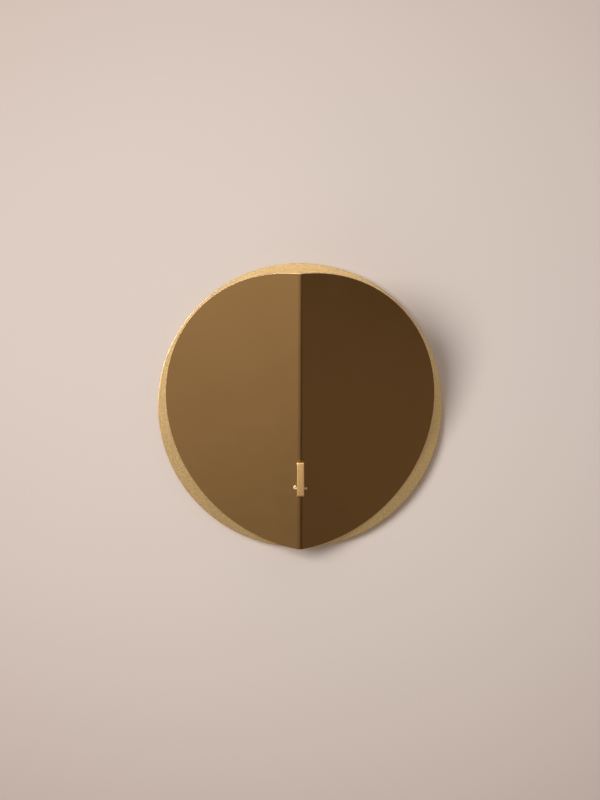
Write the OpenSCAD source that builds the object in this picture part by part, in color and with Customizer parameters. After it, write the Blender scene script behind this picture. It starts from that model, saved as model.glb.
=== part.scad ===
// Wall sconce candle holder.
// A flat brass disc hangs on the wall from a pair of hooked rails. A flat bar stands out
// from it and carries a tealight cup. A second disc of the same size, folded once down its
// middle, hangs on the end of the bar and leans out at the top, so that it shades the candle
// and throws its light back on the first disc. A cross pin keeps the folded disc on the bar.
//
// Millimetres. The origin is the middle of the wall plate's back, in the plane of the wall
// and level with the disc's centre. +Z is up, +X is to the right as seen from the room, and
// the sconce stands out from the wall towards -Y.

/* [Back disc] */
// Diameter of the back disc
disc_d = 300; // [280:5:340]
// Thickness of the back disc
disc_t = 2; // [1.5:0.5:3]
// Gap between the wall and the back of the disc
standoff = 9; // [9:0.5:12]

/* [Folded shade] */
// Diameter of the disc that the shade is folded from
shade_d = 300; // [290:5:340]
// Thickness of the shade
shade_t = 2; // [1:0.5:2.5]
// How far each wing is folded back, in degrees
fold = 21; // [18:0.5:24]
// How far the top of the shade leans out, in degrees
lean = 21; // [18:0.5:23]
// Radius of the outside of the fold
fold_r = 9; // [6:0.5:12]
// How far the shade's centre lies below the back disc's centre
shade_drop = 11; // [8:0.5:14]
// Gap between the shade's lower rims and the back disc
rim_gap = 0.6; // [0.4:0.1:3]

/* [Arm] */
// Thickness of the bar
arm_w = 7.5; // [6:0.5:9]
// Height of the bar
arm_h = 35; // [32:1:38]
// Height of the bar's centre below the disc's centre
arm_drop = 76; // [73:1:79]
// How far the bar's nose stands out in front of the fold, at its top edge
nose_out = 4; // [3:0.5:8]
// Chamfer of the nose's top and bottom edges
nose_chamfer = 1; // [0.4:0.1:1.5]

/* [Lock pin] */
// Diameter of the pin's wire
pin_d = 2.1; // [1.6:0.1:2.4]
// Length of the pin from the side of its eye to its tip
pin_len = 14.3; // [13:0.1:18]
// Height of the pin above the bar's lower edge
pin_up = 8; // [6:0.5:12]
// Width of the pin's eye
eye_w = 3.4; // [3.2:0.1:4]
// Height of the pin's eye
eye_h = 4.4; // [4:0.1:5]

/* [Candle cup] */
// Inside diameter of the cup
cup_bore = 41; // [40:0.5:42]
// Wall of the cup
cup_wall = 1.3; // [1:0.1:1.5]
// Overall height of the cup
cup_h = 15; // [13:1:18]
// Thickness of the cup's floor
cup_floor = 4; // [3.5:0.5:5]
// Distance from the disc's face to the cup's axis
cup_out = 28; // [26:0.5:29]

/* [Wall fixing] */
// Width of the two hooked rails
rail_w = 120; // [110:5:140]
// Thickness of the rails
rail_t = 1.5; // [1:0.1:1.5]
// Distance between the wall plate's two screw holes
screw_span = 90; // [70:5:94]
// Diameter of the screw holes
screw_hole_d = 5.2; // [4.5:0.1:6]

/* [Hidden] */

$fn = 96;
eps = 0.01;
// how far the flats of bent sheet run into its bends, so that they are one solid
lap = 0.05;
// radial clearance of the pin in its hole
run_fit = 0.05;
// radial clearance of a screw in the thread it fills
thread_gap = 0.05;

// Back disc
disc_back = -standoff;
disc_front = disc_back - disc_t;

// Shade. Its outer apex, before the fold is rounded, passes through shade_apex; the wings'
// lower rims come within rim_gap of the disc, which sets how far out the apex stands.
shade_r = shade_d / 2;
rim_reach = shade_r * sqrt(pow(sin(lean), 2) + pow(sin(fold) * cos(lean), 2));
apex_out = rim_reach + shade_t * cos(fold) * cos(lean) + rim_gap;
shade_apex = [0, disc_front - apex_out, -shade_drop];
bend_centre = fold_r / cos(fold);
bend_steps = 8;
// how deep the rounded fold's outside lies below the sharp apex
fold_dip = bend_centre - fold_r;

// Arm
arm_z = -arm_drop;
arm_top = arm_z + arm_h / 2;
arm_bottom = arm_z - arm_h / 2;
// Y of the fold's outside at height z
function fold_y(z) = shade_apex[1] + fold_dip / cos(lean) - (z - shade_apex[2]) * tan(lean);
nose_y = fold_y(arm_top) - nose_out;
// chamfer of the nose's side edges
side_chamfer = 0.4;

// Slot through the fold. Its ends are square to the leaning sheet, so the slot is longer than
// the bar is high by the slant of the metal that it goes through.
slot_side = 0.2;
slot_play = 0.15;
slot_w = arm_w + 2 * slot_side;
function arc_dip(r) = r - sqrt(pow(r, 2) - pow(slot_w / 2, 2));
sheet_out = fold_dip;
sheet_in = fold_dip + shade_t + arc_dip(fold_r - shade_t);
slot_top = (arm_top + slot_play - shade_apex[2] - sheet_out * sin(lean)) / cos(lean);
slot_bottom = (arm_bottom - slot_play - shade_apex[2] - sheet_in * sin(lean)) / cos(lean);

// Lock pin, which touches nothing but its hole and lies just in front of the fold
pin_z = arm_bottom + pin_up;
pin_clear = 0.35;
pin_y = fold_y(pin_z) - (pin_d / 2 + pin_clear) / cos(lean);
pin_hole_d = pin_d + 2 * run_fit;
eye_wire = 1.05;
eye_gap = 0.1;
// how far the eye's lowest point lies above the wire's underside
eye_lift = 0.05;
eye_x = -arm_w / 2 - eye_gap - eye_w / 2;
eye_rise = eye_lift + (eye_h - pin_d) / 2;
// the wire starts inside the eye's lower right
wire_start = eye_x + 0.3;
pin_right = eye_x - eye_w / 2 + pin_len;
pin_tip = 0.4;

// Candle cup and its screw, an M4 countersunk
cup_r = cup_bore / 2 + cup_wall;
cup_y = disc_front - cup_out;
cup_groove = 1;
cup_z = arm_top - cup_groove;
groove_play = 0.05;
bead_r = 0.9;
corner_r = 2.5;
m4 = 4;
csk_d = 7.6;
csk_h = (csk_d - m4) / 2;
cup_screw_len = 14;

// Arm fixing: two M4 button-head screws, level with the bar's middle
arm_screw_span = 20;
arm_screw_z = [arm_z - arm_screw_span / 2, arm_z + arm_screw_span / 2];
plate_w = 50;
plate_h = 60;
plate_t = 2.5;
plate_corner = 6;
plate_back = disc_back + plate_t;
washer_t = 0.9;
washer_od = 7;
arm_screw_head = 2.2;
arm_screw_grip = 10;
through_d = 4.4;

// Hooked rails. Each steps out by its own amount through two bends; the tongue of the moving
// one drops behind the lip of the fixed one.
rail_bend_r = 1.5;
bend_mid = rail_bend_r + rail_t / 2;
hook_gap = 0.3;
lip_step = 2 * bend_mid;
tongue_step = standoff - lip_step + hook_gap;
plate_low = -16;
plate_bend = 9;
lip_top = 27;
rail_bend = lip_top + 3.9;
rail_top = rail_bend + 25;
tongue_end = 15.5;

// Studs, washers and nuts that hold the moving rail, all M4
stud_x = [-52, -20, 20, 52];
stud_z = rail_bend + 13;
stud_len = 6.2;
stud_base_d = 5;
stud_base_h = 0.7;
nut_af = 7;
nut_h = 3.2;
flat_washer_d = 9;
flat_washer_t = 0.8;

// Rubber bumpers
bumper_d = 14;
bumper_tip_d = 10;
bumper_x = 70;
bumper_z = -108;

// A cylinder whose axis runs along Y, from y0 to y1
module y_cyl(d, y0, y1) {
    translate([0, y1, 0])
        rotate([90, 0, 0])
            cylinder(d = d, h = y1 - y0);
}

// A ring whose axis runs along Y, from y0 to y1
module y_ring(od, id, y0, y1) {
    difference() {
        y_cyl(od, y0, y1);
        y_cyl(id, y0 - 1, y1 + 1);
    }
}

// A plate in the plane of the wall, with rounded corners, from y0 to y1
module y_plate(w, h, r, y0, y1) {
    translate([0, y1, 0])
        rotate([90, 0, 0])
            linear_extrude(y1 - y0)
                rounded_rect(w, h, r);
}

module rounded_rect(w, h, r) {
    square([w - 2 * r, h], center = true);
    square([w, h - 2 * r], center = true);
    for (sx = [-1, 1], sy = [-1, 1])
        translate([sx * (w / 2 - r), sy * (h / 2 - r)])
            circle(r = r);
}

module back_disc() {
    color("#c8a26a")
    difference() {
        y_cyl(disc_d, disc_front, disc_back);
        for (z = arm_screw_z)
            translate([0, 0, z])
                y_cyl(through_d, disc_front - 1, disc_back + 1);
    }
}

// A point of the fold's section, at radius r and a degrees round from the middle of the bend
function bend_point(r, a) = [r * sin(a), bend_centre - r * cos(a)];

// A point of the right wing's section, at u along the wing and v into its thickness
function wing_point(u, v) = [u * cos(fold) - v * sin(fold), u * sin(fold) + v * cos(fold)];

// Section of the right half of the folded sheet, from the middle of the bend outwards
module half_section() {
    past_rim = shade_r + 1;
    outside = [for (i = [0:bend_steps]) bend_point(fold_r, fold * i / bend_steps)];
    inside = [for (i = [0:bend_steps]) bend_point(fold_r - shade_t, fold - fold * i / bend_steps)];
    polygon(concat(outside, [wing_point(past_rim, 0), wing_point(past_rim, shade_t)], inside));
}

// Right half of the folded disc, with its fold along Z and its outer apex at the origin
module half_disc() {
    intersection() {
        translate([0, 0, -shade_r])
            linear_extrude(shade_d)
                half_section();
        rotate([-90, 0, fold])
            translate([0, 0, -fold_r])
                cylinder(r = shade_r, h = 2 * fold_r, $fn = 180);
    }
}

module folded_disc() {
    half_disc();
    mirror([1, 0, 0])
        half_disc();
}

module shade() {
    slot_len = slot_top - slot_bottom;
    color("#7d5c36")
    translate(shade_apex)
        rotate([lean, 0, 0])
            difference() {
                folded_disc();
                translate([-slot_w / 2, -eps, slot_bottom])
                    cube([slot_w, bend_centre, slot_len]);
            }
}

// The bar: its outline from the side and its outline from above, crossed
module arm_bar() {
    c = nose_chamfer;
    s = side_chamfer;
    side = [[disc_front, arm_bottom], [nose_y + c, arm_bottom], [nose_y, arm_bottom + c],
            [nose_y, arm_top - c], [nose_y + c, arm_top], [disc_front, arm_top]];
    plan = [[arm_w / 2, disc_front], [arm_w / 2, nose_y + s], [arm_w / 2 - s, nose_y],
            [s - arm_w / 2, nose_y], [-arm_w / 2, nose_y + s], [-arm_w / 2, disc_front]];
    intersection() {
        translate([-arm_w / 2, 0, 0])
            rotate([90, 0, 90])
                linear_extrude(arm_w)
                    polygon(side);
        translate([0, 0, arm_bottom])
            linear_extrude(arm_h)
                polygon(plan);
    }
}

module arm() {
    hole_d = m4 + 2 * thread_gap;
    color("#caa067")
    difference() {
        arm_bar();
        translate([-arm_w, pin_y, pin_z])
            rotate([0, 90, 0])
                cylinder(d = pin_hole_d, h = 2 * arm_w);
        for (z = arm_screw_z)
            translate([0, 0, z])
                y_cyl(hole_d, disc_front - arm_screw_grip - 1, disc_front + 1);
        translate([0, cup_y, arm_top - cup_screw_len])
            cylinder(d = hole_d, h = cup_screw_len + 1);
    }
}

// An upright outline with round ends
module upright_oval(w, h) {
    square([w, h - w], center = true);
    for (end = [-1, 1])
        translate([0, end * (h - w) / 2])
            circle(d = w);
}

module lock_pin() {
    color("#d3aa70")
    translate([0, pin_y, pin_z]) {
        translate([wire_start, 0, 0])
            rotate([0, 90, 0])
                cylinder(d = pin_d, h = pin_right - pin_tip - wire_start);
        translate([pin_right - pin_tip, 0, 0])
            rotate([0, 90, 0])
                cylinder(d1 = pin_d, d2 = pin_d - 2 * pin_tip, h = pin_tip, $fn = 48);
        translate([eye_x, eye_wire, eye_rise])
            rotate([90, 0, 0])
                linear_extrude(2 * eye_wire)
                    difference() {
                        upright_oval(eye_w, eye_h);
                        upright_oval(eye_w - 2 * eye_wire, eye_h - 2 * eye_wire);
                    }
    }
}

// Half of the cup's section, to the right of its axis
module cup_section() {
    difference() {
        union() {
            translate([0, corner_r])
                square([cup_r, cup_h - bead_r - corner_r]);
            square([cup_r - corner_r, cup_h - bead_r]);
            translate([cup_r - corner_r, corner_r])
                circle(r = corner_r);
        }
        translate([-1, cup_floor])
            square([1 + cup_bore / 2, cup_h]);
    }
    translate([cup_r - cup_wall / 2, cup_h - bead_r])
        circle(r = bead_r, $fn = 32);
}

module candle_cup() {
    color("#c8a26a")
    translate([0, cup_y, cup_z])
        difference() {
            rotate_extrude()
                cup_section();
            translate([-arm_w / 2 - groove_play, -cup_r - 1, -1])
                cube([arm_w + 2 * groove_play, 2 * cup_r + 2, 1 + cup_groove]);
            translate([0, 0, -1])
                cylinder(d = through_d, h = cup_floor + 2);
            translate([0, 0, cup_floor - csk_h])
                cylinder(d1 = m4 + 2 * groove_play, d2 = csk_d + 2 * groove_play, h = csk_h);
        }
}

module cup_screw() {
    socket_d = 2.5;
    socket_h = 1.2;
    color("#b9bbbd")
    translate([0, cup_y, cup_z + cup_floor])
        difference() {
            union() {
                translate([0, 0, -csk_h])
                    cylinder(d1 = m4, d2 = csk_d, h = csk_h);
                translate([0, 0, -cup_screw_len])
                    cylinder(d = m4, h = cup_screw_len - csk_h + eps);
            }
            translate([0, 0, -socket_h])
                cylinder(d = socket_d / cos(30), h = socket_h + 1, $fn = 6);
        }
}

module arm_plate() {
    color("#6e7073")
    translate([0, 0, arm_z])
        difference() {
            y_plate(plate_w, plate_h, plate_corner, disc_back, plate_back);
            for (z = arm_screw_z)
                translate([0, 0, z - arm_z])
                    y_cyl(through_d, disc_back - 1, plate_back + 1);
        }
}

module arm_washers() {
    color("#8c8e91")
    for (z = arm_screw_z)
        translate([0, 0, z])
            y_ring(washer_od, through_d, plate_back, plate_back + washer_t);
}

// A button-head screw: a domed head cut by a hexagon socket, and a plain shank
module button_screw() {
    head_d = 7.6;
    dome_r = (pow(head_d / 2, 2) + pow(arm_screw_head, 2)) / (2 * arm_screw_head);
    seat = plate_back + washer_t;
    socket_d = 2.5;
    socket_h = 1.3;
    difference() {
        intersection() {
            translate([0, seat + arm_screw_head - dome_r, 0])
                sphere(r = dome_r);
            y_cyl(head_d, seat, seat + arm_screw_head + 1);
        }
        translate([0, seat + arm_screw_head + 1, 0])
            rotate([90, 0, 0])
                cylinder(d = socket_d / cos(30), h = socket_h + 1, $fn = 6);
    }
    y_cyl(m4, disc_front - arm_screw_grip, seat + eps);
}

module arm_screws() {
    color("#9a9ca0")
    for (z = arm_screw_z)
        translate([0, 0, z])
            button_screw();
}

// A quarter of a bent strip's section. The bend's centre is at the origin and it turns
// from the direction a to the direction a + 90.
module bend_section(a) {
    rotate(a)
        intersection() {
            difference() {
                circle(r = bend_mid + rail_t / 2);
                circle(r = bend_mid - rail_t / 2);
            }
            square(bend_mid + rail_t);
        }
}

// Section of a strip that rises from z = foot, steps to the left by step through two bends
// that start at z = bend, and rises again to z = top. x = 0 is the back of its lower part.
module hook_section(foot, bend, step, top) {
    web = step - 2 * bend_mid;
    bend_x = -rail_t / 2 - bend_mid;
    translate([-rail_t, foot])
        square([rail_t, bend - foot + lap]);
    translate([bend_x, bend])
        bend_section(0);
    translate([bend_x - web - lap, bend + bend_mid - rail_t / 2])
        square([web + 2 * lap, rail_t]);
    translate([bend_x - web, bend + 2 * bend_mid])
        bend_section(180);
    translate([-rail_t - step, bend + 2 * bend_mid - lap])
        square([rail_t, top - bend - 2 * bend_mid + lap]);
}

// A section drawn in the plane of Y and Z, swept along X over the rails' width
module sweep_rail() {
    translate([-rail_w / 2, 0, 0])
        rotate([90, 0, 90])
            linear_extrude(rail_w)
                children();
}

module wall_plate() {
    color("#77797c")
    difference() {
        sweep_rail()
            hook_section(plate_low, plate_bend, lip_step, lip_top);
        for (sx = [-1, 1])
            translate([sx * screw_span / 2, 0, 0])
                y_cyl(screw_hole_d, -rail_t - 1, 1);
    }
}

module hanger_rail() {
    color("#77797c")
    difference() {
        sweep_rail()
            translate([disc_back, 0])
                rotate(180)
                    hook_section(-rail_top, -rail_bend, tongue_step, -tongue_end);
        for (x = stud_x)
            translate([x, 0, stud_z])
                y_cyl(stud_base_d + 0.6, disc_back - 1, disc_back + rail_t + 1);
    }
}

module rail_studs() {
    color("#c9a56c")
    for (x = stud_x)
        translate([x, 0, stud_z]) {
            y_cyl(stud_base_d, disc_back, disc_back + stud_base_h);
            y_cyl(m4, disc_back + stud_base_h - eps, disc_back + stud_len);
        }
}

module rail_washers() {
    color("#b9bbbd")
    for (x = stud_x)
        translate([x, 0, stud_z])
            y_ring(flat_washer_d, m4 + 0.3, disc_back + rail_t, disc_back + rail_t + flat_washer_t);
}

module rail_nuts() {
    seat = disc_back + rail_t + flat_washer_t;
    corner_d = nut_af / cos(30);
    color("#b9bbbd")
    for (x = stud_x)
        translate([x, seat + nut_h, stud_z])
            rotate([90, 0, 0])
                difference() {
                    intersection() {
                        cylinder(d = corner_d, h = nut_h, $fn = 6);
                        translate([0, 0, -eps])
                            cylinder(d1 = nut_af, d2 = nut_af + 2 * nut_h, h = nut_h + 2 * eps);
                    }
                    translate([0, 0, -1])
                        cylinder(d = m4 + 2 * thread_gap, h = nut_h + 2);
                }
}

module bumpers() {
    shoulder = 2;
    color("#2c2b2a")
    for (sx = [-1, 1])
        translate([sx * bumper_x, 0, bumper_z]) {
            y_cyl(bumper_d, disc_back, -shoulder);
            translate([0, -shoulder, 0])
                rotate([-90, 0, 0])
                    cylinder(d1 = bumper_d, d2 = bumper_tip_d, h = shoulder);
        }
}

back_disc();
shade();
arm();
lock_pin();
candle_cup();
cup_screw();
arm_plate();
arm_screws();
arm_washers();
hanger_rail();
rail_studs();
rail_washers();
rail_nuts();
wall_plate();
bumpers();
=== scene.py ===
"""Looks for the wall sconce candle holder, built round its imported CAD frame.

Lengths are metres in the frame's own axes: +Z up, +X to the right, the wall at Y = 0 and the
room towards -Y. Places and sizes come from the CAD nodes' boxes and faces.
"""
import math

import bmesh
import bpy
from mathutils import Matrix, Vector


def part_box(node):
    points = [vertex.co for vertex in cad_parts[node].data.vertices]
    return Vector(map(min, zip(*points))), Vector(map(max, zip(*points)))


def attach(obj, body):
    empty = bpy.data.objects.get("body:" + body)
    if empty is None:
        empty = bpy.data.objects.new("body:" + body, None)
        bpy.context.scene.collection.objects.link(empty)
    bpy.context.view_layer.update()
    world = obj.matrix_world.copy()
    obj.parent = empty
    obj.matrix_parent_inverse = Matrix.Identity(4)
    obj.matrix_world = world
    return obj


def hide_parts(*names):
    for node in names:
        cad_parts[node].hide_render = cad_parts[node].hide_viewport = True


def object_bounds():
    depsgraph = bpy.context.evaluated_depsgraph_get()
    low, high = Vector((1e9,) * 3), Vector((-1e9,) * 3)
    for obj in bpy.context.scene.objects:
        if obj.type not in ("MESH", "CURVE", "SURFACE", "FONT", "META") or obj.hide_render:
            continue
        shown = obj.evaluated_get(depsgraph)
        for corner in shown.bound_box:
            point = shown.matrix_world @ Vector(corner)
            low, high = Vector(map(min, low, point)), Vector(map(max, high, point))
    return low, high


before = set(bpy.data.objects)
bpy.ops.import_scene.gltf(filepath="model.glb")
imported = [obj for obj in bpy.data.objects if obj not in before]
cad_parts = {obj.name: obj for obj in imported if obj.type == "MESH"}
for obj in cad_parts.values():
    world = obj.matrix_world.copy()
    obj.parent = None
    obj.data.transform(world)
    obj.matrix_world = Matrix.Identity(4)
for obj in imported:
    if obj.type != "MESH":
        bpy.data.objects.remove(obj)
cad_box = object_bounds()

MM = 0.001
SCONCE = "sconce"
CROSS_PIN = "cross_pin"
OUT_OF_WALL = Matrix.Rotation(math.radians(90), 4, "X")  # turns +Z to -Y
INTO_WALL = Matrix.Rotation(math.radians(-90), 4, "X")   # turns +Z to +Y
ALONG_X = Matrix.Rotation(math.radians(90), 4, "Y")      # turns +Z to +X


# ---------------------------------------------------------------- measures from the frame

def largest_face(node, wanted):
    """Normal and one point of the widest flat of a node among those that nearly face wanted."""
    flats = {}
    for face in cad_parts[node].data.polygons:
        if face.normal.dot(wanted.normalized()) > 0.85:
            key = tuple(round(v, 2) for v in face.normal)
            flats.setdefault(key, []).append(face)
    widest = max(flats.values(), key=lambda faces: sum(f.area for f in faces))
    normal = sum((f.normal * f.area for f in widest), Vector()).normalized()
    return normal, widest[0].center.copy()


def solids_of(node):
    """Lowest and highest corner of each separate solid in a CAD node, from low X and Z up."""
    bm = bmesh.new()
    bm.from_mesh(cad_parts[node].data)
    bmesh.ops.remove_doubles(bm, verts=bm.verts, dist=1e-6)
    left, boxes = set(bm.verts), []
    while left:
        todo, island = [left.pop()], []
        while todo:
            vert = todo.pop()
            island.append(vert.co)
            for edge in vert.link_edges:
                other = edge.other_vert(vert)
                if other in left:
                    left.remove(other)
                    todo.append(other)
        low = Vector(min(co[i] for co in island) for i in range(3))
        high = Vector(max(co[i] for co in island) for i in range(3))
        boxes.append((low, high))
    bm.free()
    return sorted(boxes, key=lambda box: (round(box[0].x, 4), box[0].z))


disc_low, disc_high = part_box("back_disc")
shade_low, shade_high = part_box("shade")
arm_low, arm_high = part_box("arm")
pin_low, pin_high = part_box("lock_pin")
cup_low, cup_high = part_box("candle_cup")

DISC_R = (disc_high.x - disc_low.x) / 2
DISC_FRONT = disc_low.y
DISC_BACK = disc_high.y
CUP_Y = (cup_low.y + cup_high.y) / 2

# The shade's right wing gives the fold and the lean. Its outside crosses X = 0 at the sharp
# apex, and the rounded bend lies FOLD_DIP below that.
wing_normal, wing_spot = largest_face("shade", Vector((0.4, -0.8, -0.4)))
FOLD = math.asin(wing_normal.x)
LEAN = math.atan2(-wing_normal.z, -wing_normal.y)
SHEET = 2.0 * MM
FOLD_R = 9.0 * MM
FOLD_DIP = FOLD_R / math.cos(FOLD) - FOLD_R
BEND_START = FOLD_R * math.tan(FOLD)
SHADE_R = shade_high.x / math.cos(FOLD)
APEX_Z = shade_low.z + SHADE_R * math.cos(LEAN) - FOLD_DIP * math.sin(LEAN)
APEX_Y = (wing_normal.dot(wing_spot) - wing_normal.z * APEX_Z) / wing_normal.y

ARM_W = arm_high.x - arm_low.x
PIN_R = 1.05 * MM
PIN_Y = (pin_low.y + pin_high.y) / 2
PIN_Z = pin_low.z + PIN_R

# The slot's ends are square to the leaning sheet and clear the bar by SLOT_PLAY.
SLOT_HALF = ARM_W / 2 + 0.2 * MM
SLOT_PLAY = 0.15 * MM
INNER_R = FOLD_R - SHEET
slot_dip = INNER_R - math.sqrt(INNER_R ** 2 - SLOT_HALF ** 2)
SLOT_TOP = (arm_high.z + SLOT_PLAY - APEX_Z - FOLD_DIP * math.sin(LEAN)) / math.cos(LEAN)
SLOT_BOTTOM = (arm_low.z - SLOT_PLAY - APEX_Z
               - (FOLD_DIP + SHEET + slot_dip) * math.sin(LEAN)) / math.cos(LEAN)


# ---------------------------------------------------------------- camera

CAMERA_OUT = 11.97 * DISC_R    # from the disc's face
CAMERA_UP = 0.036 * DISC_R     # above the disc's centre
CAMERA_LEFT = 0.093 * DISC_R   # to the left of the disc's centre, which it is turned towards
HALF_VIEW = 2.817 * DISC_R     # half the height seen at the disc's face


def make_camera():
    data = bpy.data.cameras.new("photo_camera")
    data.sensor_width = 36.0
    data.lens = data.sensor_width / 2 * CAMERA_OUT / HALF_VIEW
    data.clip_start, data.clip_end = 0.05, 50.0
    camera = bpy.data.objects.new("photo_camera", data)
    camera.location = (-CAMERA_LEFT, DISC_FRONT - CAMERA_OUT, CAMERA_UP)
    camera.rotation_euler = (math.radians(90), 0.0, -math.atan(CAMERA_LEFT / CAMERA_OUT))
    bpy.context.scene.collection.objects.link(camera)
    bpy.context.scene.camera = camera
    bpy.context.scene.view_settings.view_transform = "Standard"


make_camera()


# ---------------------------------------------------------------- node helpers

class Nodes:
    """A material's node tree, with short calls for the nodes that the finishes share."""

    def __init__(self, name):
        self.material = bpy.data.materials.new(name)
        self.material.use_nodes = True
        self.tree = self.material.node_tree
        self.shader = self.tree.nodes["Principled BSDF"]
        self.output = self.tree.nodes["Material Output"]
        self.place = self.add("ShaderNodeTexCoord").outputs["Object"]

    def add(self, kind, **settings):
        node = self.tree.nodes.new(kind)
        for key, value in settings.items():
            setattr(node, key, value)
        return node

    def link(self, source, target):
        self.tree.links.new(source, target)

    def set(self, **values):
        """Sets the shader's own sockets, such as base_color or coat_roughness."""
        for key, value in values.items():
            self.shader.inputs[key.replace("_", " ").title().replace("Ior", "IOR")].default_value = value

    def stretched(self, scale):
        """The object's coordinates, scaled along each axis."""
        mapping = self.add("ShaderNodeMapping")
        mapping.inputs["Scale"].default_value = scale
        self.link(self.place, mapping.inputs["Vector"])
        return mapping.outputs["Vector"]

    def noise(self, scale, detail=3.0, roughness=0.55, where=None):
        node = self.add("ShaderNodeTexNoise")
        node.inputs["Scale"].default_value = scale
        node.inputs["Detail"].default_value = detail
        node.inputs["Roughness"].default_value = roughness
        self.link(where or self.place, node.inputs["Vector"])
        return node.outputs["Fac"]

    def ramp(self, value, stops):
        """stops are (position, colour) pairs; a number stands for a grey."""
        node = self.add("ShaderNodeValToRGB")
        ramp = node.color_ramp
        while len(ramp.elements) < len(stops):
            ramp.elements.new(0.5)
        for element, (position, colour) in zip(ramp.elements, stops):
            element.position = position
            grey = isinstance(colour, (int, float))
            element.color = (colour,) * 3 + (1.0,) if grey else tuple(colour) + (1.0,)
        self.link(value, node.inputs["Fac"])
        return node.outputs["Color"]

    def spread(self, value, low, high):
        """Maps the middle of a noise, 0.3 to 0.7, to the range low to high."""
        node = self.add("ShaderNodeMapRange")
        node.inputs["From Min"].default_value = 0.3
        node.inputs["From Max"].default_value = 0.7
        node.inputs["To Min"].default_value = low
        node.inputs["To Max"].default_value = high
        self.link(value, node.inputs["Value"])
        return node.outputs["Result"]

    def shade_by(self, colour, value, low, high):
        """The colour times the middle of a noise, mapped to low to high."""
        return self.times(colour, self.spread(value, low, high))

    def times(self, one, two):
        node = self.add("ShaderNodeMix", data_type="RGBA", blend_type="MULTIPLY")
        node.inputs["Factor"].default_value = 1.0
        self.link(one, node.inputs["A"])
        self.link(two, node.inputs["B"])
        return node.outputs["Result"]

    def bump(self, height, depth, strength=1.0, under=None):
        node = self.add("ShaderNodeBump")
        node.inputs["Strength"].default_value = strength
        node.inputs["Distance"].default_value = depth
        self.link(height, node.inputs["Height"])
        if under:
            self.link(under, node.inputs["Normal"])
        return node.outputs["Normal"]

    def finish(self, colour=None, roughness=None, normal=None):
        for socket, source in (("Base Color", colour), ("Roughness", roughness),
                               ("Normal", normal)):
            if source:
                self.link(source, self.shader.inputs[socket])
        return self.material


# ---------------------------------------------------------------- materials

def disc_brass():
    """Satin brass with a fine blasted grain."""
    n = Nodes("disc_brass")
    n.set(metallic=1.0)
    grain = n.noise(620.0, 3.0, 0.7)
    cloud = n.noise(14.0, 4.0)
    tone = n.ramp(cloud, [(0.3, (0.585, 0.392, 0.180)), (0.7, (0.645, 0.436, 0.202))])
    pitted = n.shade_by(tone, grain, 0.86, 1.08)
    normal = n.bump(grain, 0.005 * MM)
    return n.finish(pitted, n.spread(grain, 0.22, 0.28), normal)


def shade_bronze():
    """Smooth brass, darkened to bronze and waxed."""
    n = Nodes("shade_bronze")
    n.set(metallic=1.0)
    cloud = n.noise(9.0, 3.0, 0.5)
    tone = n.ramp(cloud, [(0.3, (0.440, 0.243, 0.092)), (0.7, (0.470, 0.262, 0.101))])
    slow = n.bump(n.noise(16.0, 1.0), 0.10 * MM, 0.3)
    return n.finish(tone, n.spread(n.noise(60.0, 3.0), 0.22, 0.26), slow)


def edge_brass():
    """The shade's cut edge, worn bright by handling."""
    n = Nodes("edge_brass")
    n.set(metallic=1.0)
    wear = n.noise(220.0, 3.0, 0.6)
    tone = n.ramp(wear, [(0.3, (0.74, 0.54, 0.28)), (0.7, (0.86, 0.67, 0.38))])
    return n.finish(tone, n.spread(wear, 0.24, 0.34), n.bump(wear, 0.01 * MM))


def bar_brass():
    """Drawn brass bar: fine lines along its length."""
    n = Nodes("bar_brass")
    n.set(metallic=1.0)
    lines = n.noise(1.0, 3.0, 0.6, n.stretched((3200.0, 60.0, 3200.0)))
    tone = n.ramp(lines, [(0.3, (0.625, 0.377, 0.156)), (0.7, (0.68, 0.411, 0.175))])
    return n.finish(tone, n.spread(n.noise(500.0), 0.27, 0.33), n.bump(lines, 0.006 * MM))


def pin_brass():
    """Drawn wire, polished by handling."""
    n = Nodes("pin_brass")
    n.set(metallic=1.0)
    lines = n.noise(1.0, 2.0, 0.5, n.stretched((150.0, 4000.0, 4000.0)))
    tone = n.ramp(lines, [(0.3, (0.95, 0.78, 0.50)), (0.7, (0.98, 0.84, 0.58))])
    return n.finish(tone, n.spread(lines, 0.46, 0.56), n.bump(lines, 0.01 * MM))


def cup_brass():
    """Turned brass with faint rings round its axis."""
    n = Nodes("cup_brass")
    n.set(metallic=1.0)
    middle = (cup_low + cup_high) / 2
    mapping = n.add("ShaderNodeMapping")
    mapping.inputs["Location"].default_value = (0.0, -middle.y, -cup_low.z)
    n.link(n.place, mapping.inputs["Vector"])
    wave = n.add("ShaderNodeTexWave", wave_type="RINGS", rings_direction="Z")
    wave.inputs["Scale"].default_value = 900.0
    wave.inputs["Distortion"].default_value = 1.5
    wave.inputs["Detail"].default_value = 2.0
    n.link(mapping.outputs["Vector"], wave.inputs["Vector"])
    tone = n.ramp(n.noise(40.0), [(0.3, (0.70, 0.47, 0.22)), (0.7, (0.76, 0.53, 0.26))])
    return n.finish(tone, n.spread(n.noise(200.0), 0.26, 0.36), n.bump(wave.outputs["Fac"], 0.01 * MM))


def zinc_steel():
    """Bright zinc plating, slightly mottled."""
    n = Nodes("zinc_steel")
    n.set(metallic=1.0)
    mottle = n.noise(350.0, 4.0, 0.6)
    tone = n.ramp(mottle, [(0.3, (0.52, 0.53, 0.55)), (0.7, (0.66, 0.67, 0.68))])
    return n.finish(tone, n.spread(mottle, 0.25, 0.42), n.bump(n.noise(1800.0), 0.01 * MM))


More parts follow.
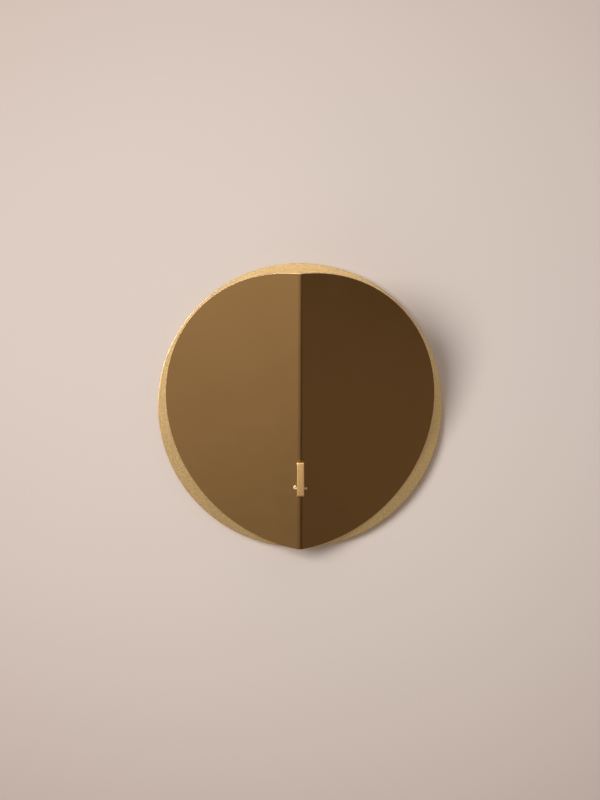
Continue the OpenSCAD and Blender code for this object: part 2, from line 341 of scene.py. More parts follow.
def powder_coat():
    """Matt black powder coat with its fine orange peel."""
    n = Nodes("powder_coat")
    peel = n.noise(1300.0, 2.0, 0.45)
    tone = n.ramp(n.noise(90.0), [(0.3, (0.016, 0.016, 0.017)), (0.7, (0.024, 0.024, 0.025))])
    return n.finish(tone, n.spread(peel, 0.48, 0.62), n.bump(peel, 0.04 * MM))


def bumper_rubber():
    """Moulded black rubber with a dusty bloom."""
    n = Nodes("bumper_rubber")
    bloom = n.noise(260.0, 4.0, 0.65)
    tone = n.ramp(bloom, [(0.35, (0.018, 0.017, 0.017)), (0.75, (0.050, 0.048, 0.046))])
    return n.finish(tone, n.spread(bloom, 0.70, 0.88), n.bump(n.noise(900.0), 0.03 * MM))


DISC_BRASS = disc_brass()
SHADE_BRONZE = shade_bronze()
EDGE_BRASS = edge_brass()
BAR_BRASS = bar_brass()
PIN_BRASS = pin_brass()
CUP_BRASS = cup_brass()
ZINC = zinc_steel()
POWDER_COAT = powder_coat()
RUBBER = bumper_rubber()


# ---------------------------------------------------------------- mesh helpers

def to_object(name, bm):
    bmesh.ops.remove_doubles(bm, verts=bm.verts, dist=1e-7)
    bmesh.ops.recalc_face_normals(bm, faces=bm.faces)
    mesh = bpy.data.meshes.new(name)
    bm.to_mesh(mesh)
    bm.free()
    made = bpy.data.objects.new(name, mesh)
    bpy.context.scene.collection.objects.link(made)
    return made


def apply_modifiers(made):
    graph = bpy.context.evaluated_depsgraph_get()
    mesh = bpy.data.meshes.new_from_object(made.evaluated_get(graph))
    made.modifiers.clear()
    made.data = mesh


def cut(made, *cutters):
    """Takes the cutters out of a mesh, and removes them."""
    for cutter in cutters:
        boolean = made.modifiers.new("cut", "BOOLEAN")
        boolean.operation, boolean.solver, boolean.object = "DIFFERENCE", "EXACT", cutter
    bpy.context.view_layer.update()
    apply_modifiers(made)
    for cutter in cutters:
        bpy.data.objects.remove(cutter)


def round_edges(made, width, segments=3, angle=35.0):
    """Rounds every edge sharper than the angle, or without an angle every weighted edge."""
    bevel = made.modifiers.new("round_edges", "BEVEL")
    bevel.width, bevel.segments = width, segments
    bevel.limit_method = "WEIGHT" if angle is None else "ANGLE"
    bevel.angle_limit = math.radians(angle or 0.0)
    bevel.use_clamp_overlap = True
    bevel.harden_normals = False
    smooth(made)


def smooth(made):
    """Smooth shading that keeps broad flats flat."""
    for face in made.data.polygons:
        face.use_smooth = True
    weighted = made.modifiers.new("keep_flats", "WEIGHTED_NORMAL")
    weighted.weight = 100
    weighted.keep_sharp = True


def piece(made, material, body, slot, *nodes):
    """Dresses a finished mesh, puts it in place of its CAD nodes and lets it ride."""
    made.data.materials.clear()
    made.data.materials.append(material)
    for face in made.data.polygons:
        face.material_index = 0
    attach(made, body)
    if nodes:
        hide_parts(*nodes)
    return made


def dress(node, material, edge=0.0):
    """Gives a CAD node that stays its finish, and breaks its edges."""
    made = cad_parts[node]
    made.data.materials.clear()
    made.data.materials.append(material)
    if edge:
        weld = made.modifiers.new("weld", "WELD")
        weld.merge_threshold = 1e-6
        round_edges(made, edge, 2)
    else:
        smooth(made)


def lathe(name, profile, matrix, segments=96):
    """Turns a profile of (radius, height) points about Z, then places it. A profile that
    starts and ends on the axis closes there; any other is a closed ring."""
    bm = bmesh.new()
    rings = []
    for radius, height in profile:
        if radius < 1e-9:
            rings.append([bm.verts.new((0.0, 0.0, height))] * segments)
            continue
        turns = (2 * math.pi * i / segments for i in range(segments))
        rings.append([bm.verts.new((radius * math.cos(a), radius * math.sin(a), height))
                      for a in turns])
    solid = profile[0][0] < 1e-9 and profile[-1][0] < 1e-9
    pairs = list(zip(rings, rings[1:])) + ([] if solid else [(rings[-1], rings[0])])
    for low, high in pairs:
        for i in range(segments):
            j = (i + 1) % segments
            corners = dict.fromkeys((low[i], low[j], high[j], high[i]))
            if len(corners) > 2:
                bm.faces.new(corners)
    bm.transform(matrix)
    return to_object(name, bm)


def arc(centre_r, centre_h, radius, start, end, steps):
    """Points of a profile's arc, with its angles in degrees from the +radius direction."""
    angles = (math.radians(start + (end - start) * i / steps) for i in range(steps + 1))
    return [(centre_r + radius * math.cos(a), centre_h + radius * math.sin(a)) for a in angles]


def rod(radius, length, matrix, sides=48):
    """A cylinder from the origin up, used as a cutter or a plain hidden shank."""
    return lathe("rod", [(0.0, 0.0), (radius, 0.0), (radius, length), (0.0, length)], matrix, sides)


def block(low, high):
    bm = bmesh.new()
    bmesh.ops.create_cube(bm, size=1.0)
    size, middle = Vector(high) - Vector(low), (Vector(high) + Vector(low)) / 2
    bm.transform(Matrix.Translation(middle) @ Matrix.Diagonal(size.to_4d()))
    return bm


def at(x, y, z):
    return Matrix.Translation((x, y, z))


# ---------------------------------------------------------------- back disc

def back_disc():
    edge = 0.35 * MM
    thick = DISC_BACK - DISC_FRONT
    profile = [(0.0, 0.0)]
    profile += arc(DISC_R - edge, edge, edge, -90, 0, 4)
    profile += arc(DISC_R - edge, thick - edge, edge, 0, 90, 4)
    profile += [(0.0, thick)]
    disc = lathe("back_disc_sheet", profile, at(0, DISC_BACK, 0) @ OUT_OF_WALL, 288)
    holes = [rod(2.2 * MM, 2 * thick, at(0, DISC_BACK + thick / 2, (low.z + high.z) / 2) @ OUT_OF_WALL)
             for low, high in solids_of("arm_screws")]
    cut(disc, *holes)
    smooth(disc)
    piece(disc, DISC_BRASS, SCONCE, "disc_brass", "back_disc")


# ---------------------------------------------------------------- folded shade

def sheet_point(u, v, w):
    """A point of the folded sheet: u across from the fold, v into the sheet, w up the fold."""
    if abs(u) < BEND_START:
        angle, radius = FOLD * u / BEND_START, FOLD_R - v
        x = radius * math.sin(angle)
        y = FOLD_R / math.cos(FOLD) - radius * math.cos(angle)
    else:
        x = math.copysign(abs(u) * math.cos(FOLD) - v * math.sin(FOLD), u)
        y = abs(u) * math.sin(FOLD) + v * math.cos(FOLD)
    return Vector((x, APEX_Y + y * math.cos(LEAN) - w * math.sin(LEAN),
                   APEX_Z + y * math.sin(LEAN) + w * math.cos(LEAN)))


def slot_side(v):
    """Where the slot's straight side meets the wing, v into the sheet."""
    return (SLOT_HALF + v * math.sin(FOLD)) / math.cos(FOLD)


def rim_height(u):
    return math.sqrt(max(SHADE_R ** 2 - u ** 2, 0.0))


def near_slot(point):
    tall = arm_high.z - arm_low.z
    return abs(point.x) < 2 * SLOT_HALF and abs(point.z - arm_low.z) < 1.2 * tall


def mark_rim_edges(made, angle):
    """Gives the rim's edges the weight that rounds them, and keeps the slot's sawn edges sharp."""
    bm = bmesh.new()
    bm.from_mesh(made.data)
    weight = bm.edges.layers.float.new("bevel_weight_edge")
    for edge in bm.edges:
        if edge.calc_face_angle(0.0) < math.radians(angle):
            continue
        if near_slot(edge.verts[0].co) and near_slot(edge.verts[1].co):
            edge.smooth = False
        else:
            edge[weight] = 1.0
    bm.to_mesh(made.data)
    bm.free()


def on_rim(face):
    """Whether a face of the shade belongs to its rounded rim, and not to its flats or its slot."""
    fold_axis = Vector((0.0, -math.sin(LEAN), math.cos(LEAN)))
    outward = Vector((0.0, -math.cos(LEAN), -math.sin(LEAN)))
    turned = math.atan2(abs(face.normal.x), abs(face.normal.dot(outward)))
    if near_slot(face.center):
        return False
    return abs(face.normal.dot(fold_axis)) > 0.3 or turned > FOLD + 0.3


def folded_shade():
    steps, bend_steps = 150, 12
    bm = bmesh.new()

    def face(points):
        bm.faces.new([bm.verts.new(sheet_point(*p)) for p in points])

    start = math.asin(BEND_START / SHADE_R)
    turns = [start + (math.pi - 2 * start) * i / steps for i in range(steps + 1)]
    rim = [(SHADE_R * math.sin(a), SHADE_R * math.cos(a)) for a in turns]
    bend = [BEND_START * (i / bend_steps - 1) for i in range(2 * bend_steps + 1)]
    for v in (0.0, SHEET):
        side = slot_side(v)
        notch = [(BEND_START, SLOT_BOTTOM), (side, SLOT_BOTTOM), (side, SLOT_TOP),
                 (BEND_START, SLOT_TOP)]
        for sign in (-1, 1):
            face([(sign * u, v, w) for u, w in rim + notch])
        for u0, u1 in zip(bend, bend[1:]):
            face([(u0, v, SLOT_TOP), (u1, v, SLOT_TOP), (u1, v, rim_height(u1)), (u0, v, rim_height(u0))])
            face([(u0, v, -rim_height(u0)), (u1, v, -rim_height(u1)),
                  (u1, v, SLOT_BOTTOM), (u0, v, SLOT_BOTTOM)])
    top = [(u, rim_height(u)) for u in bend]
    outline = [(-u, w) for u, w in reversed(rim)] + top[1:-1] + rim
    outline += [(u, -w) for u, w in reversed(top[1:-1])]
    for (u0, w0), (u1, w1) in zip(outline, outline[1:] + outline[:1]):
        face([(u0, 0.0, w0), (u1, 0.0, w1), (u1, SHEET, w1), (u0, SHEET, w0)])
    for w in (SLOT_TOP, SLOT_BOTTOM):
        outer = [-slot_side(0.0)] + bend + [slot_side(0.0)]
        inner = [slot_side(SHEET)] + bend[::-1] + [-slot_side(SHEET)]
        face([(u, 0.0, w) for u in outer] + [(u, SHEET, w) for u in inner])
    for sign in (-1, 1):
        u0, u1 = sign * slot_side(0.0), sign * slot_side(SHEET)
        face([(u0, 0.0, SLOT_TOP), (u0, 0.0, SLOT_BOTTOM), (u1, SHEET, SLOT_BOTTOM), (u1, SHEET, SLOT_TOP)])
    shade = to_object("folded_shade", bm)
    mark_rim_edges(shade, 40.0)
    round_edges(shade, 0.45 * MM, 4, None)
    apply_modifiers(shade)
    piece(shade, SHADE_BRONZE, SCONCE, "shade_brass", "shade")
    shade.data.materials.append(EDGE_BRASS)
    for face in shade.data.polygons:
        face.material_index = int(on_rim(face))


# ---------------------------------------------------------------- arm

NOSE_EASE = 1.0 * MM       # height of the filed edge, top and bottom
EASE_DEPTH = 0.3 * MM      # how far the filed edge falls back
EASE_REACH = 1.3           # where it starts, in heights of the filed edge
NOSE_FLAT = 1.4 * MM       # where the nose's even rows start, from its top and its bottom
NOSE_CHAMFER = 0.3 * MM
SIDE_CHAMFER = 0.4 * MM
NOSE_CROWN = 0.28 * MM


def nose_set_back(x, z):
    """How far the nose's hand-finished face falls back from its middle."""
    across = x / (ARM_W / 2)
    up = (2 * z - arm_low.z - arm_high.z) / (arm_high.z - arm_low.z)
    from_edge = min(arm_high.z - z, z - arm_low.z) / NOSE_EASE
    crowned = NOSE_CROWN * (0.15 * across ** 2 + 0.85 * up ** 2)
    return crowned + EASE_DEPTH * max(0.0, EASE_REACH - from_edge) ** 1.5


def arm_bar():
    columns, rows = 6, 20
    half, low, high = ARM_W / 2, arm_low.z, arm_high.z
    inner_half, inner_low, inner_high = half - SIDE_CHAMFER, low + NOSE_CHAMFER, high - NOSE_CHAMFER
    bm = bmesh.new()
    face = []
    heights = [inner_low + NOSE_EASE * i / 4 for i in range(4)]
    heights += [low + NOSE_FLAT + (high - low - 2 * NOSE_FLAT) * row / rows for row in range(rows + 1)]
    heights += [inner_high - NOSE_EASE * (3 - i) / 4 for i in range(4)]
    for z in heights:
        xs = (inner_half * (2 * i / columns - 1) for i in range(columns + 1))
        face.append([bm.verts.new((x, arm_low.y + nose_set_back(x, z), z)) for x in xs])
    for one, two in zip(face, face[1:]):
        for i in range(columns):
            bm.faces.new((one[i], one[i + 1], two[i + 1], two[i]))
    depth = arm_low.y + NOSE_CROWN + NOSE_CHAMFER
    left = [bm.verts.new((-half, depth, row[0].co.z)) for row in face]
    right = [bm.verts.new((half, depth, row[0].co.z)) for row in face]
    foot = [bm.verts.new((v.co.x, depth, low)) for v in face[0]]
    top = [bm.verts.new((v.co.x, depth, high)) for v in face[-1]]
    for a, b in ((left, [row[0] for row in face]), ([row[-1] for row in face], right),
                 (foot, face[0]), (face[-1], top)):
        for i in range(len(a) - 1):
            bm.faces.new((a[i], b[i], b[i + 1], a[i + 1]))
    corners = []
    for x, z, beside, above in ((-half, low, left[0], foot[0]), (half, low, right[0], foot[-1]),
                                (half, high, right[-1], top[-1]), (-half, high, left[-1], top[0])):
        corner = bm.verts.new((x, depth, z))
        near = face[0 if z == low else -1][0 if x < 0 else -1]
        bm.faces.new((corner, beside, near, above))
        corners.append(corner)
    rim = [corners[0]] + foot + [corners[1]] + right + [corners[2]] + top[::-1] + [corners[3]] + left[::-1]
    wall_end = [bm.verts.new((v.co.x, arm_high.y, v.co.z)) for v in rim]
    for i in range(len(rim)):
        j = (i + 1) % len(rim)
        bm.faces.new((rim[i], rim[j], wall_end[j], wall_end[i]))
    bm.faces.new(wall_end)
    bar = to_object("arm_bar", bm)
    round_edges(bar, 0.12 * MM, 2, 20.0)
    apply_modifiers(bar)
    screw_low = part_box("cup_screw")[0]
    holes = [rod(PIN_R + 0.05 * MM, 2 * ARM_W, at(-ARM_W, PIN_Y, PIN_Z) @ ALONG_X),
             rod(2.05 * MM, 20 * MM, at(0, CUP_Y, screw_low.z))]
    for low, high in solids_of("arm_screws"):
        holes.append(rod(2.05 * MM, 11 * MM, at(0, DISC_FRONT, (low.z + high.z) / 2) @ OUT_OF_WALL))
    cut(bar, *holes)
    smooth(bar)
    piece(bar, BAR_BRASS, SCONCE, "arm_brass", "arm")


# ---------------------------------------------------------------- lock pin

def lock_pin():
    """A split pin: half-round wire, out along the lower leg, round the eye and back."""
    gap, turn_r = 0.03 * MM, 1.08 * MM
    eye_half = (-ARM_W / 2 - 0.1 * MM - pin_low.x) / 2 - PIN_R
    eye_rise = (pin_high.z - pin_low.z) / 2 - PIN_R
    eye = Vector((pin_low.x + PIN_R + eye_half, eye_rise - gap))
    long_tip, short_tip = pin_high.x, pin_high.x - 0.2 * MM
    turn = Vector((eye.x + eye_half + turn_r, gap + turn_r))
    path = [Vector((long_tip - (long_tip - eye.x) * i / 12, -gap)) for i in range(12)]
    for i in range(28):
        angle = math.radians(270 - 10 * i)
        path.append(eye + Vector((eye_half * math.cos(angle), eye_rise * math.sin(angle))))
    path += [Vector(p) for p in arc(turn.x, turn.y, turn_r, 180, 270, 9)]
    path += [Vector((turn.x + (short_tip - turn.x) * i / 12, gap)) for i in range(1, 13)]
    bm = bmesh.new()
    rings = []
    for i, point in enumerate(path):
        ahead = (path[min(i + 1, len(path) - 1)] - path[max(i - 1, 0)]).normalized()
        bulge = Vector((-ahead.y, ahead.x))
        taper = 0.9 if i in (0, len(path) - 1) else 1.0
        ring = []
        for k in range(13):
            angle = math.pi * k / 12
            across = PIN_R * taper * math.cos(angle)
            out = (PIN_R - gap) * taper * math.sin(angle)
            spot = point + bulge * out
            ring.append(bm.verts.new((spot.x, PIN_Y + across, PIN_Z + spot.y)))
        rings.append(ring)
    for one, two in zip(rings, rings[1:]):
        for k in range(13):
            bm.faces.new((one[k], one[(k + 1) % 13], two[(k + 1) % 13], two[k]))
    bm.faces.new(rings[0])
    bm.faces.new(rings[-1])
    pin = to_object("split_pin", bm)
    round_edges(pin, 0.12 * MM, 2, 50.0)
    apply_modifiers(pin)
    piece(pin, PIN_BRASS, CROSS_PIN, "pin_brass", "lock_pin")


# ---------------------------------------------------------------- candle cup and its screw

CUP_BEAD = 0.9 * MM
CUP_WALL = 1.3 * MM
CUP_FLOOR = 4.0 * MM
CUP_H = cup_high.z - cup_low.z
CUP_R = (cup_high.x - cup_low.x) / 2 - CUP_BEAD + CUP_WALL / 2
SINK_R, SINK_H = 3.85 * MM, 1.8 * MM


def candle_cup():
    bore, corner, bead_h = CUP_R - CUP_WALL, 2.5 * MM, CUP_H - CUP_BEAD
    fillet = 1.2 * MM
    profile = [(2.2 * MM, 0.0)]
    profile += arc(CUP_R - corner, corner, corner, -90, 0, 8)
    profile += arc(CUP_R - CUP_WALL / 2, bead_h, CUP_BEAD, -40, 220, 16)
    profile += arc(bore - fillet, CUP_FLOOR + fillet, fillet, 0, -90, 6)
    profile += [(SINK_R, CUP_FLOOR), (2.2 * MM, CUP_FLOOR - SINK_H)]
    cup = lathe("tealight_cup", profile, at(0, CUP_Y, cup_low.z), 128)
    groove = block((arm_low.x - 0.05 * MM, CUP_Y - 2 * CUP_R, cup_low.z - MM),
                   (arm_high.x + 0.05 * MM, CUP_Y + 2 * CUP_R, arm_high.z))
    cut(cup, to_object("groove", groove))
    smooth(cup)
    piece(cup, CUP_BRASS, SCONCE, "cup_brass", "candle_cup")


def hex_socket(across, depth, matrix):
    """A cutter for a hexagon socket, from the origin up."""
    corner = across / math.sqrt(3)
    profile = [(0.0, -depth), (corner, -depth), (corner, depth), (0.0, depth)]
    return lathe("socket", profile, matrix, 6)


def cup_screw():
    low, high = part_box("cup_screw")
    head = high.z - low.z - SINK_H
    profile = [(0.0, 0.0), (1.5 * MM, 0.0), (2.0 * MM, 0.5 * MM), (2.0 * MM, head)]
    profile += [(3.7 * MM, high.z - low.z - 0.15 * MM), (3.7 * MM, high.z - low.z), (0.0, high.z - low.z)]
    screw = lathe("cup_countersunk_screw", profile, at(0, CUP_Y, low.z), 64)
    cut(screw, hex_socket(2.5 * MM, 1.2 * MM, at(0, CUP_Y, high.z)))
    round_edges(screw, 0.08 * MM, 2)
    piece(screw, ZINC, SCONCE, "zinc_steel", "cup_screw")


# ---------------------------------------------------------------- fixings behind the disc

M4 = 2.0 * MM


def thread(name, length, matrix, radius=M4, pitch=0.7 * MM):
    """A short threaded end with a true helix, from the origin up."""
    around, rows = 40, max(int(length / pitch * 8), 8)
    depth = 0.55 * pitch
    bm = bmesh.new()
    rings = []
    for row in range(rows + 1):
        height = length * row / rows
        fade = min(1.0, (length - height) / pitch)
        ring = []
        for i in range(around):
            turn = i / around
            phase = (height / pitch - turn) % 1.0
            groove = abs(2 * phase - 1)
            r = (radius - depth * groove) * (0.85 + 0.15 * fade)
            angle = 2 * math.pi * turn
            ring.append(bm.verts.new((r * math.cos(angle), r * math.sin(angle), height)))
        rings.append(ring)
    for low, high in zip(rings, rings[1:]):
        for i in range(around):
            j = (i + 1) % around
            bm.faces.new((low[i], low[j], high[j], high[i]))
    bm.faces.new(rings[0][::-1])
    bm.faces.new(rings[-1])
    bm.transform(matrix)
    return to_object(name, bm)


def joined(name, parts):
    """One mesh from several separate solids."""
    bm = bmesh.new()
    for part in parts:
        bm.from_mesh(part.data)
        bpy.data.objects.remove(part)
    mesh = bpy.data.meshes.new(name)
    bm.to_mesh(mesh)
    bm.free()
    made = bpy.data.objects.new(name, mesh)
    bpy.context.scene.collection.objects.link(made)
    return made


def arm_screws():
    screws = []
    for low, high in solids_of("arm_screws"):
        middle = (low.z + high.z) / 2
        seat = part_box("arm_washers")[1].y
        head_r, head_h = (high.z - low.z) / 2, high.y - seat
        dome = (head_r ** 2 + head_h ** 2) / (2 * head_h)
        rise = math.degrees(math.acos(0.35 * head_r / dome))
        profile = [(0.0, low.y - seat), (M4, low.y - seat), (M4, 0.0), (head_r, 0.0)]
        profile += arc(0.0, head_h - dome, dome, math.degrees(math.asin(1 - head_h / dome)) + 2, rise, 8)
        profile += [(0.0, head_h)]
        place = at(0, seat, middle) @ INTO_WALL
        screw = lathe("button_screw", profile, place, 64)
        cut(screw, hex_socket(2.5 * MM, 1.3 * MM, at(0, high.y, middle) @ INTO_WALL))
        screws.append(screw)
    made = joined("arm_button_screws", screws)
    round_edges(made, 0.1 * MM, 2, 50.0)
    piece(made, ZINC, SCONCE, "zinc_steel", "arm_screws")


def rail_nuts():
    nuts = []
    for low, high in solids_of("rail_nuts"):
        across, height = high.z - low.z, high.y - low.y
        corner = across / math.sqrt(3)
        place = at((low.x + high.x) / 2, low.y, (low.z + high.z) / 2) @ INTO_WALL
        hexagon = lathe("hexagon", [(0.0, 0.0), (corner, 0.0), (corner, height), (0.0, height)], place, 6)
        flare = corner - across / 2
        turned = lathe("turned", [(0.0, 0.0), (across / 2 * 0.98, 0.0), (corner, flare * 0.6),
                                  (corner, height - flare * 0.6), (across / 2 * 0.98, height),
                                  (0.0, height)], place, 64)
        both = hexagon.modifiers.new("turned", "BOOLEAN")
        both.operation, both.solver, both.object = "INTERSECT", "EXACT", turned
        bpy.context.view_layer.update()
        apply_modifiers(hexagon)
        bpy.data.objects.remove(turned)
        start = (low + high) / 2 - Vector((0, height, 0))
        cut(hexagon, rod(M4 + 0.05 * MM, 2 * height, at(*start) @ INTO_WALL))
        nuts.append(hexagon)
    made = joined("rail_hex_nuts", nuts)
    smooth(made)
    piece(made, ZINC, SCONCE, "zinc_steel", "rail_nuts")


def rail_studs():
    studs = []
    for low, high in solids_of("rail_studs"):
        place = at((low.x + high.x) / 2, low.y, (low.z + high.z) / 2) @ INTO_WALL
        base_r, base_h = (high.z - low.z) / 2, 0.7 * MM
        profile = [(0.0, 0.0), (base_r, 0.0), (base_r, base_h), (0.0, base_h)]
        studs.append(lathe("stud_base", profile, place, 48))
        studs.append(thread("stud_thread", high.y - low.y - base_h, place @ at(0, 0, base_h)))
    made = joined("rail_weld_studs", studs)
    smooth(made)
    piece(made, DISC_BRASS, SCONCE, "disc_brass", "rail_studs")


def spring_washers():
    washers = []
    for low, high in solids_of("arm_washers"):
        outer, height = (high.z - low.z) / 2, high.y - low.y
        inner, middle = 2.2 * MM, (low.z + high.z) / 2
        edge = 0.12 * MM
        profile = [(inner, edge), (inner + edge, 0.0), (outer - edge, 0.0), (outer, edge),
                   (outer, height - edge), (outer - edge, height), (inner + edge, height),
                   (inner, height - edge)]
        washer = lathe("washer", profile, at(0, low.y, middle) @ INTO_WALL, 64)
        slit = to_object("slit", block((-0.3 * MM, -5 * MM, 0.0), (0.3 * MM, 5 * MM, 2 * outer)))
        slit.matrix_world = at(0, low.y, middle) @ Matrix.Rotation(math.radians(25), 4, "Z")
        cut(washer, slit)
        washers.append(washer)
    made = joined("arm_spring_washers", washers)
    smooth(made)
    piece(made, ZINC, SCONCE, "zinc_steel", "arm_washers")


# ---------------------------------------------------------------- stage and light

WALL_PAINT = (0.59, 0.515, 0.473)
FLOOR_Z = -4.0 * DISC_R
WALL_UP = 2.0                         # the wall's middle above the floor
PAINTED_LIGHT_CENTRE = (0.08, 0.05 - WALL_UP - FLOOR_Z, 0.0)   # where the painted light is brightest on the wall, from its middle
PAINTED_SHADE_SCALE = (0.775, 0.894, 0.0)      # how fast the painted shade darkens the wall, across and up
PAINTED_SHADE_EDGE = (0.745, 0.68, 0.665)      # the share of the paint's brightness that the painted shade leaves far out


def wall_paint():
    """Matt wall paint with a roller's fine texture, darkened by painted shade away from the painted light's
    brightest spot.

    From behind it is clear, so that the back of the sconce can be seen.
    """
    n = Nodes("wall_paint")
    roller = n.noise(330.0, 3.0, 0.5)
    cloud = n.ramp(n.noise(2.2, 2.0), [(0.3, [c * 0.985 for c in WALL_PAINT]), (0.7, WALL_PAINT)])
    away = n.add("ShaderNodeMapping")
    away.inputs["Location"].default_value = [-c * f for c, f in zip(PAINTED_LIGHT_CENTRE, PAINTED_SHADE_SCALE)]
    away.inputs["Scale"].default_value = PAINTED_SHADE_SCALE
    n.link(n.place, away.inputs["Vector"])
    square = n.add("ShaderNodeVectorMath", operation="DOT_PRODUCT")
    n.link(away.outputs["Vector"], square.inputs[0])
    n.link(away.outputs["Vector"], square.inputs[1])
    # painted shade: the wall's colour darkens away from that spot and stands in for the lamps' fall-off
    painted_shade = n.ramp(square.outputs["Value"], [(0.0, 1.0), (0.3, PAINTED_SHADE_EDGE)])
    tone = n.times(cloud, painted_shade)
    n.set(roughness=0.85)
    n.finish(tone, None, n.bump(roller, 0.12 * MM))
    clear = n.add("ShaderNodeBsdfTransparent")
    sides = n.add("ShaderNodeMixShader")
    n.link(n.add("ShaderNodeNewGeometry").outputs["Backfacing"], sides.inputs["Fac"])
    n.link(n.shader.outputs["BSDF"], sides.inputs[1])
    n.link(clear.outputs["BSDF"], sides.inputs[2])
    n.link(sides.outputs["Shader"], n.output.inputs["Surface"])
    return n.material


def floor_paint():
    n = Nodes("floor_paint")
    tone = n.ramp(n.noise(3.0, 3.0), [(0.3, (0.70, 0.66, 0.63)), (0.7, (0.74, 0.70, 0.67))])
    n.set(roughness=0.7)
    return n.finish(tone, None, n.bump(n.noise(160.0), 0.1 * MM))


def plane(name, half_x, half_y, matrix, material):
    bm = bmesh.new()
    corners = ((-half_x, -half_y), (half_x, -half_y), (half_x, half_y), (-half_x, half_y))
    bm.faces.new([bm.verts.new((x, y, 0.0)) for x, y in corners])
    mesh = bpy.data.meshes.new(name)
    bm.to_mesh(mesh)
    bm.free()
    made = bpy.data.objects.new(name, mesh)
    bpy.context.scene.collection.objects.link(made)
    made.matrix_world = matrix
    made.data.materials.append(material)
    return made


def make_stage():
    """Wall and floor are there for the camera only; the room's light stands for their glow."""
    wall_place = at(0, cad_box[1].y + 0.3 * MM, FLOOR_Z + WALL_UP) @ OUT_OF_WALL
    for backdrop in (plane("wall_backdrop", 2.5, 2.0, wall_place, wall_paint()),
                     plane("floor", 3.0, 3.0, at(0, 0, FLOOR_Z), floor_paint())):
        for ray in ("diffuse", "glossy", "transmission", "shadow"):
            setattr(backdrop, "visible_" + ray, False)


def area_light(name, place, aim, size, power, colour):
    data = bpy.data.lights.new(name, "AREA")
    data.shape = "RECTANGLE"
    data.size, data.size_y = size
    data.energy, data.color = power, colour
    lamp = bpy.data.objects.new(name, data)
    lamp.location = place
    lamp.rotation_euler = (Vector(aim) - Vector(place)).to_track_quat("-Z", "Y").to_euler()
    bpy.context.scene.collection.objects.link(lamp)


# The room's brightness from straight down (0) to straight up (1), as seen from the sconce on
# its left side, straight ahead and on its right side.
ROOM_LEFT = [(0.0, (0.10, 0.09, 0.08)), (0.175, (0.29, 0.275, 0.25)), (0.21, (0.42, 0.405, 0.375)),
             (0.245, (0.80, 0.79, 0.77)), (0.35, (0.60, 0.59, 0.57)), (0.48, (0.35, 0.34, 0.33)),
             (0.54, (0.28, 0.27, 0.26)), (1.0, (0.28, 0.27, 0.26))]
ROOM_AHEAD = [(0.0, (0.05, 0.04, 0.02)), (0.15, (0.07, 0.05, 0.025)), (0.30, (0.09, 0.065, 0.04)),
              (0.42, (0.32, 0.30, 0.27)), (0.48, (0.53, 0.505, 0.475)), (0.56, (0.56, 0.545, 0.52)),
              (0.70, (0.20, 0.19, 0.18)), (0.86, (0.20, 0.19, 0.18)), (0.94, (0.80, 0.79, 0.77)),
              (1.0, (0.90, 0.89, 0.87))]
ROOM_RIGHT = [(0.0, (0.08, 0.07, 0.06)), (0.175, (0.15, 0.128, 0.105)), (0.215, (0.31, 0.265, 0.215)),
              (0.255, (0.0, 0.0, 0.0)), (0.35, (0.22, 0.19, 0.155)), (0.48, (0.25, 0.24, 0.22)),
              (0.54, (0.38, 0.365, 0.35)), (0.75, (0.44, 0.425, 0.41)), (1.0, (0.42, 0.405, 0.39))]
BACKDROP = (0.70, 0.63, 0.585)


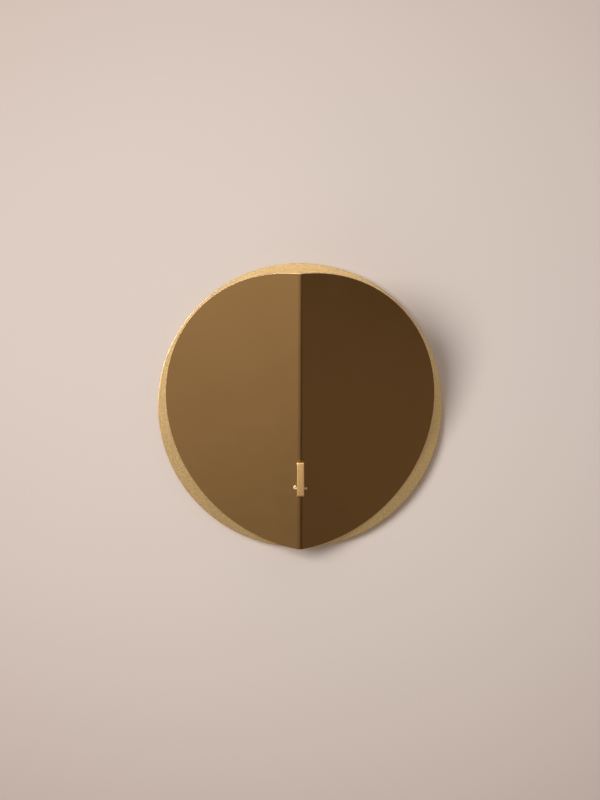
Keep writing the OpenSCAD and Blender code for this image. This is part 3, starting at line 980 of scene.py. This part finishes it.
class Room:
    """The world's node tree: soft light from a plain room, by direction."""

    def __init__(self):
        world = bpy.data.worlds.new("studio")
        world.use_nodes = True
        bpy.context.scene.world = world
        self.tree = world.node_tree
        where = self.tree.nodes.new("ShaderNodeTexCoord").outputs["Generated"]
        split = self.tree.nodes.new("ShaderNodeSeparateXYZ")
        self.tree.links.new(where, split.inputs["Vector"])
        self.x, self.y, self.z = (split.outputs[axis] for axis in "XYZ")

    def span(self, value, start, end):
        """0 before start, 1 after end, and smooth between them."""
        node = self.tree.nodes.new("ShaderNodeMapRange")
        node.interpolation_type = "SMOOTHSTEP"
        node.inputs["From Min"].default_value = start
        node.inputs["From Max"].default_value = end
        self.tree.links.new(value, node.inputs["Value"])
        return node.outputs["Result"]

    def column(self, stops):
        linear = self.tree.nodes.new("ShaderNodeMapRange")
        linear.inputs["From Min"].default_value = -1.0
        self.tree.links.new(self.z, linear.inputs["Value"])
        node = self.tree.nodes.new("ShaderNodeValToRGB")
        node.color_ramp.interpolation = "B_SPLINE"
        while len(node.color_ramp.elements) < len(stops):
            node.color_ramp.elements.new(0.5)
        for element, (position, colour) in zip(node.color_ramp.elements, stops):
            element.position, element.color = position, tuple(colour) + (1.0,)
        self.tree.links.new(linear.outputs["Result"], node.inputs["Fac"])
        return node.outputs["Color"]

    def mix(self, factor, one, two):
        node = self.tree.nodes.new("ShaderNodeMix")
        node.data_type = "RGBA"
        self.tree.links.new(factor, node.inputs["Factor"])
        for socket, value in (("A", one), ("B", two)):
            if isinstance(value, tuple):
                node.inputs[socket].default_value = value + (1.0,)
            else:
                self.tree.links.new(value, node.inputs[socket])
        return node.outputs["Result"]


def make_room():
    room = Room()
    sharp_turn, soft_turn = room.span(room.x, -0.08, 0.06), room.span(room.x, -0.45, 0.10)
    turn = room.mix(room.span(room.z, -0.45, -0.2), sharp_turn, soft_turn)
    ahead = room.mix(turn, room.column(ROOM_LEFT), room.column(ROOM_AHEAD))
    front = room.mix(room.span(room.x, 0.22, 0.45), ahead, room.column(ROOM_RIGHT))
    around = room.mix(room.span(room.y, -0.05, 0.05), front, (0.60, 0.52, 0.465))
    seen = room.tree.nodes.new("ShaderNodeLightPath").outputs["Is Camera Ray"]
    room.tree.links.new(room.mix(seen, around, BACKDROP), room.tree.nodes["Background"].inputs["Color"])


def make_light():
    make_room()
    area_light("window", (-1.5, -2.4, 0.60), (0, 0, 0), (1.5, 1.2), 79.0, (1.0, 0.985, 0.965))
    area_light("softbox", (-0.2, -2.2, 0.80), (0, 0, 0), (0.9, 0.7), 6.5, (1.0, 0.98, 0.95))
    area_light("behind", (-1.6, 2.2, 1.4), (0, 0, 0), (1.6, 1.2), 40.0, (1.0, 0.98, 0.96))


# ---------------------------------------------------------------- assembly

back_disc()
folded_shade()
arm_bar()
lock_pin()
candle_cup()
cup_screw()
arm_screws()
spring_washers()
rail_studs()
rail_nuts()
dress("rail_washers", ZINC, 0.1 * MM)
dress("arm_plate", POWDER_COAT, 0.25 * MM)
dress("hanger_rail", POWDER_COAT, 0.25 * MM)
dress("wall_plate", POWDER_COAT, 0.25 * MM)
dress("bumpers", RUBBER, 0.4 * MM)
make_stage()
make_light()
